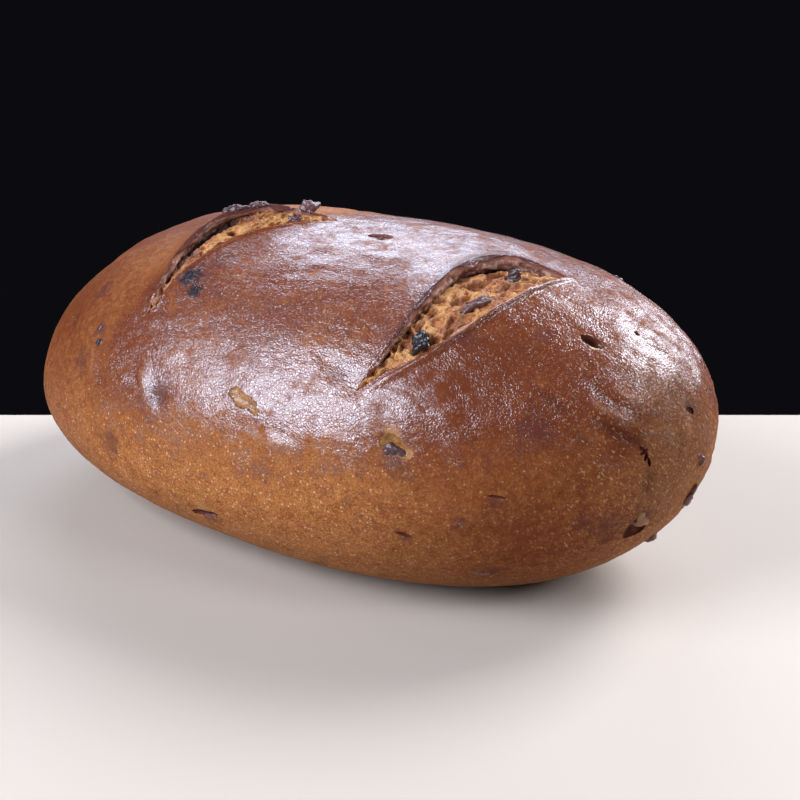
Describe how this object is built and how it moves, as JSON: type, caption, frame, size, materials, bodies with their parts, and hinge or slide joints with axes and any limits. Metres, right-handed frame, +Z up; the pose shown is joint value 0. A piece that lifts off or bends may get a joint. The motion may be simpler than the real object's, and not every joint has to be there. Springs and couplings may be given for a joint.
{
  "type": "onion bread loaf",
  "caption": "Oval onion bread with a flat sole and a glossy brown crust, slashed across the crown so that raised lips stand over torn crumb, with browned onion bits baked in.",
  "frame": {"origin": "on the sole, below the middle of the loaf's box", "axes": "+X along the loaf to its blunter end, -Y to the flank where the slashes start, +Z up to the crown"},
  "size_m": [0.2248, 0.1334, 0.0934],
  "materials": {
    "crust": "baked crust, glossy on the crown and matt on the flanks",
    "crumb": "torn crumb, matt and open-pored",
    "onion": "browned onion, dark and slightly glossy"
  },
  "bodies": {
    "root": {"loaf": "crust"}
  },
  "joints": []
}
